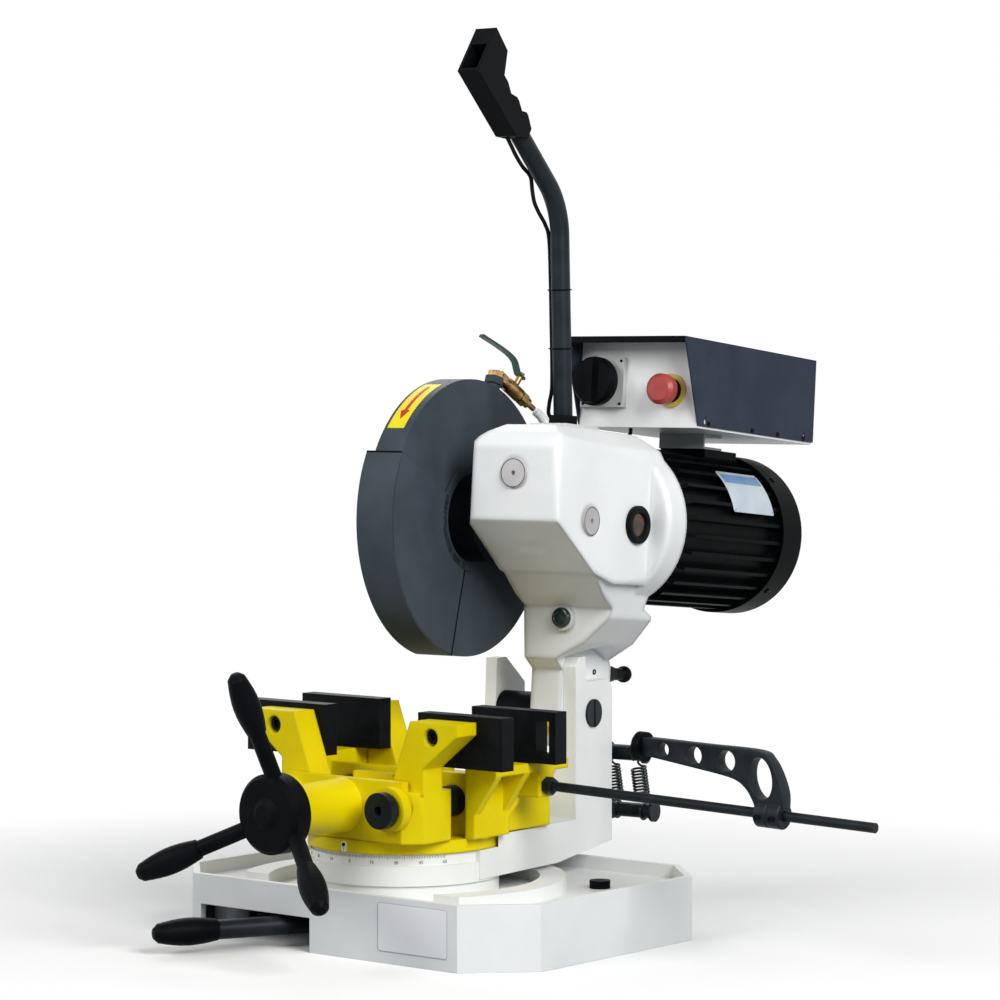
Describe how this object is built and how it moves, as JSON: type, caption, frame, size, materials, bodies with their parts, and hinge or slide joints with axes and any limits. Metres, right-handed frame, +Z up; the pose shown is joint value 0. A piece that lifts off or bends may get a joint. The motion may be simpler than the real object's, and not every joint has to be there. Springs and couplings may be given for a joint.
{
  "type": "cold saw",
  "caption": "Manual cold saw: coolant-tray base, swivelling arm, self-centring vise with handwheel, and a tilting worm-drive head with guarded blade, motor and control box.",
  "frame": {"origin": "centre of the stand bolt pattern, on the floor plane under the middle of the base", "axes": "+Z up, -Y towards the operator at the handwheel, +X to the operator's right, towards the length stop"},
  "size_m": [0.932, 1.0026, 1.1177],
  "materials": {
    "white_paint": "satin",
    "yellow_paint": "satin",
    "guard_paint": "satin",
    "black_oxide": "satin",
    "dark_steel": "satin",
    "ground_steel": "ground",
    "motor_paint": "satin",
    "lid_paint": "satin",
    "bracket_paint": "satin",
    "black_plastic": "matte",
    "grey_plastic": "matte",
    "yellow_plastic": "gloss",
    "red_plastic": "gloss",
    "green_plastic": "gloss",
    "rubber": "matte",
    "brass": "machined",
    "copper_winding": "varnished",
    "oil_glass": "clear",
    "clear_hose": "clear",
    "blade_steel": "ground"
  },
  "bodies": {
    "base": {"base_tray": "white_paint", "king_pin": "ground_steel", "drain_strainer": "black_plastic", "vise_base": "yellow_paint", "guide_bars": "dark_steel", "stop_rod": "dark_steel"},
    "lock": {"lock_lever": "dark_steel", "lock_grip": "black_plastic"},
    "front_jaw": {"front_jaw": "yellow_paint", "front_jaw_plates": "black_oxide"},
    "rear_jaw": {"rear_jaw": "yellow_paint", "rear_jaw_plates": "black_oxide"},
    "handwheel": {"vise_screw": "ground_steel", "handwheel": "black_plastic", "handwheel_grips": "black_plastic"},
    "length_stop": {"stop_arm": "dark_steel", "stop_pad": "black_plastic"},
    "swivel": {"swivel_arm": "white_paint", "pivot_shaft": "dark_steel", "spring_bracket": "dark_steel", "return_spring_outer": "ground_steel", "return_spring_inner": "ground_steel"},
    "head": {"gearcase": "white_paint", "pivot_bush": "brass", "pivot_sleeve": "black_plastic", "casting_plugs": "ground_steel", "sight_glass": "oil_glass", "drain_plug": "black_oxide", "lock_knob": "black_oxide", "spring_tail": "dark_steel", "shaft_bearings": "ground_steel", "guard_hub": "black_oxide", "upper_guard": "guard_paint", "motor_housing": "motor_paint", "motor_stator": "copper_winding", "fan_cover": "motor_paint", "terminal_box": "motor_paint", "box_bracket": "bracket_paint", "control_box": "white_paint", "box_lid": "lid_paint", "switch_plate": "grey_plastic", "estop_collar": "yellow_plastic", "handle_foot": "dark_steel", "handle_tube": "dark_steel", "grip": "black_plastic", "switch_cable": "rubber", "coolant_valve": "brass", "coolant_hose": "clear_hose"},
    "movable_guard": {"movable_guard": "guard_paint"},
    "spindle": {"spindle": "ground_steel", "worm_wheel": "brass", "blade": "blade_steel", "blade_flange": "dark_steel"},
    "worm": {"worm_shaft": "ground_steel"},
    "rotor": {"motor_rotor": "ground_steel", "motor_fan": "black_plastic"},
    "rotary_knob": {"rotary_knob": "black_plastic"},
    "estop_button": {"estop_button": "red_plastic"},
    "trigger": {"trigger": "grey_plastic"},
    "valve_lever": {"valve_lever": "green_plastic"}
  },
  "joints": [
    {"name": "swivel_turn", "type": "hinge", "parent": "base", "child": "swivel", "pos_m": [0, -0.066, 0.1], "axis": [0, 0, 1], "range_deg": [-42, 31]},
    {"name": "lock_lever_turn", "type": "hinge", "parent": "base", "child": "lock", "pos_m": [0, -0.066, 0.027], "axis": [0, 0, 1], "range_deg": [-20, 13]},
    {"name": "rear_jaw_slide", "type": "slide", "parent": "base", "child": "rear_jaw", "axis": [0, -1, 0], "range_m": [-0.002, 0.039]},
    {"name": "front_jaw_slide", "type": "slide", "parent": "base", "child": "front_jaw", "axis": [0, 1, 0], "range_m": [-0.002, 0.039]},
    {"name": "handwheel_turn", "type": "hinge", "parent": "base", "child": "handwheel", "pos_m": [0, -0.3, 0.179], "axis": [0, 1, 0], "range_deg": [-150, 2820]},
    {"name": "stop_slide", "type": "slide", "parent": "base", "child": "length_stop", "axis": [0.9996, 0, -0.0274], "range_m": [-0.095, 0.12]},
    {"name": "head_tilt", "type": "hinge", "parent": "swivel", "child": "head", "pos_m": [0.05264, 0.1889, 0.268], "axis": [0.9945, 0.1045, 0], "range_deg": [0, 39], "stiffness_Nm_per_rad": 60, "springref_deg": -34.38, "deforming": ["return_spring_outer", "return_spring_inner"]},
    {"name": "guard_swing", "type": "hinge", "parent": "head", "child": "movable_guard", "pos_m": [-0.0114, 0.04243, 0.52107], "axis": [0.9945, 0.1045, 0], "range_deg": [-57, 0.5]},
    {"name": "motor_spin", "type": "hinge", "parent": "head", "child": "rotor", "pos_m": [0.09258, 0.35422, 0.49891], "axis": [-0.1041, 0.9907, -0.0872], "continuous": true},
    {"name": "worm_spin", "type": "hinge", "parent": "head", "child": "worm", "pos_m": [0.12337, 0.06133, 0.57487], "axis": [-0.1041, 0.9907, -0.0872], "continuous": true},
    {"name": "spindle_spin", "type": "hinge", "parent": "head", "child": "spindle", "pos_m": [-0.0114, 0.04243, 0.52107], "axis": [0.9945, 0.1045, 0], "continuous": true},
    {"name": "switch_turn", "type": "hinge", "parent": "head", "child": "rotary_knob", "pos_m": [0.04566, 0.2554, 0.69379], "axis": [-0.1041, 0.9907, -0.0872], "range_deg": [0, 90]},
    {"name": "estop_press", "type": "slide", "parent": "head", "child": "estop_button", "axis": [-0.1041, 0.9907, -0.0872], "range_m": [0, 0.005], "stiffness_N_per_m": 600},
    {"name": "trigger_pull", "type": "hinge", "parent": "head", "child": "trigger", "pos_m": [0.14933, -0.07093, 1.05484], "axis": [0.9945, 0.1045, 0], "range_deg": [-8, 0], "stiffness_Nm_per_rad": 0.6},
    {"name": "valve_turn", "type": "hinge", "parent": "head", "child": "valve_lever", "pos_m": [0.00432, 0.15688, 0.69824], "axis": [0.1005, 0.5847, 0.805], "range_deg": [0, 90]}
  ],
  "couplings": [
    {"joint": "front_jaw_slide", "follows": "rear_jaw_slide", "ratio": 1},
    {"joint": "handwheel_turn", "follows": "rear_jaw_slide", "rad_per_m": 1256.6},
    {"joint": "guard_swing", "follows": "head_tilt", "ratio": -1.45},
    {"joint": "worm_spin", "follows": "motor_spin", "ratio": -0.66667},
    {"joint": "spindle_spin", "follows": "motor_spin", "ratio": 0.022222}
  ]
}
